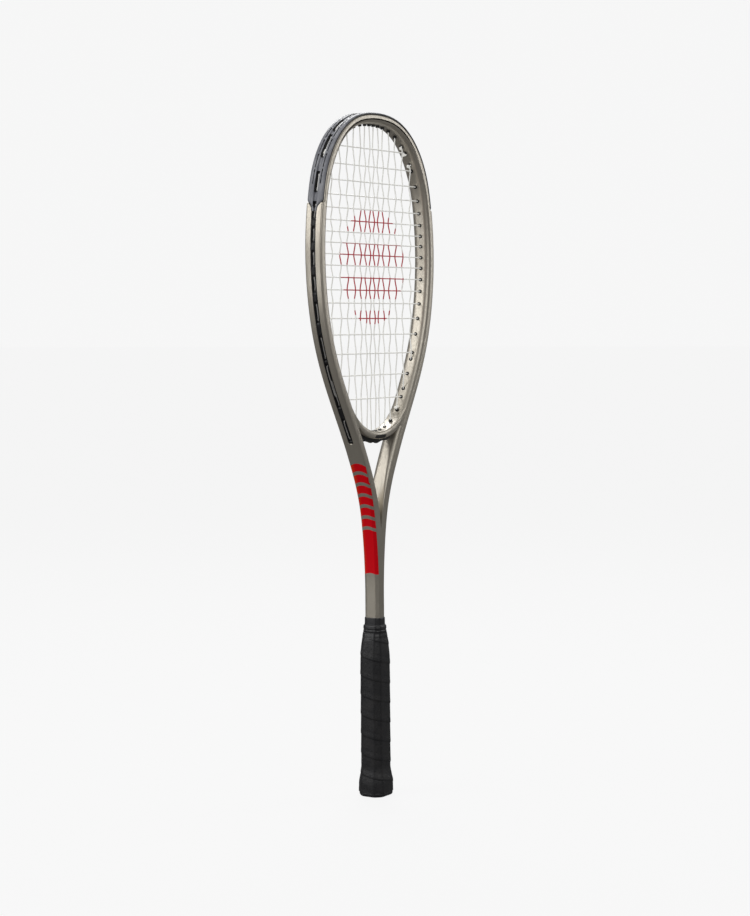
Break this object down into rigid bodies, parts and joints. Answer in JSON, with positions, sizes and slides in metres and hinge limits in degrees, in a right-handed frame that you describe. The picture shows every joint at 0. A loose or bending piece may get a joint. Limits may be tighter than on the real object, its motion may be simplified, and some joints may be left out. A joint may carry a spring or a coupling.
{
  "type": "squash racket",
  "caption": "Squash racket with a teardrop head on an open forked throat, strung bed, grooved head guard and a wrapped flared handle.",
  "frame": {"origin": "centre of the butt end, at the lowest point of the upright racket", "axes": "+Z along the racket from the butt to the crown of the head, +X across the head in the plane of the strings, +Y square to the strings"},
  "size_m": [0.2078, 0.0302, 0.684],
  "materials": {
    "frame": "satin metallic champagne lacquer over moulded composite, with a red block graphic on the legs",
    "guard": "semi-matt slate grey nylon",
    "grommet": "black nylon",
    "string": "off-white multifilament string with a crimson block stencil",
    "foam": "matt moulded foam",
    "cap": "matt black moulded plastic",
    "badge": "plain satin disc",
    "staple": "bright steel wire",
    "grip": "semi-gloss perforated cushion grip",
    "tape": "glossy adhesive tape",
    "collar": "smooth black rubber"
  },
  "bodies": {
    "racket": {"frame": "frame", "throat_bridge": "frame", "bumper_guard": "guard", "grommet_strip_left": "grommet", "grommet_strip_right": "grommet", "throat_grommet_strip": "grommet", "main_string": "string", "cross_string": "string", "handle_foam": "foam", "butt_cap": "cap", "butt_badge": "badge", "butt_staple_1": "staple", "butt_staple_2": "staple", "butt_staple_3": "staple", "butt_staple_4": "staple", "grip_wrap": "grip", "grip_tape": "tape"},
    "collar": {"grip_collar": "collar"}
  },
  "joints": [
    {"name": "collar_slide", "type": "slide", "parent": "racket", "child": "collar", "axis": [0, 0, 1], "range_m": [0, 0.03]}
  ]
}
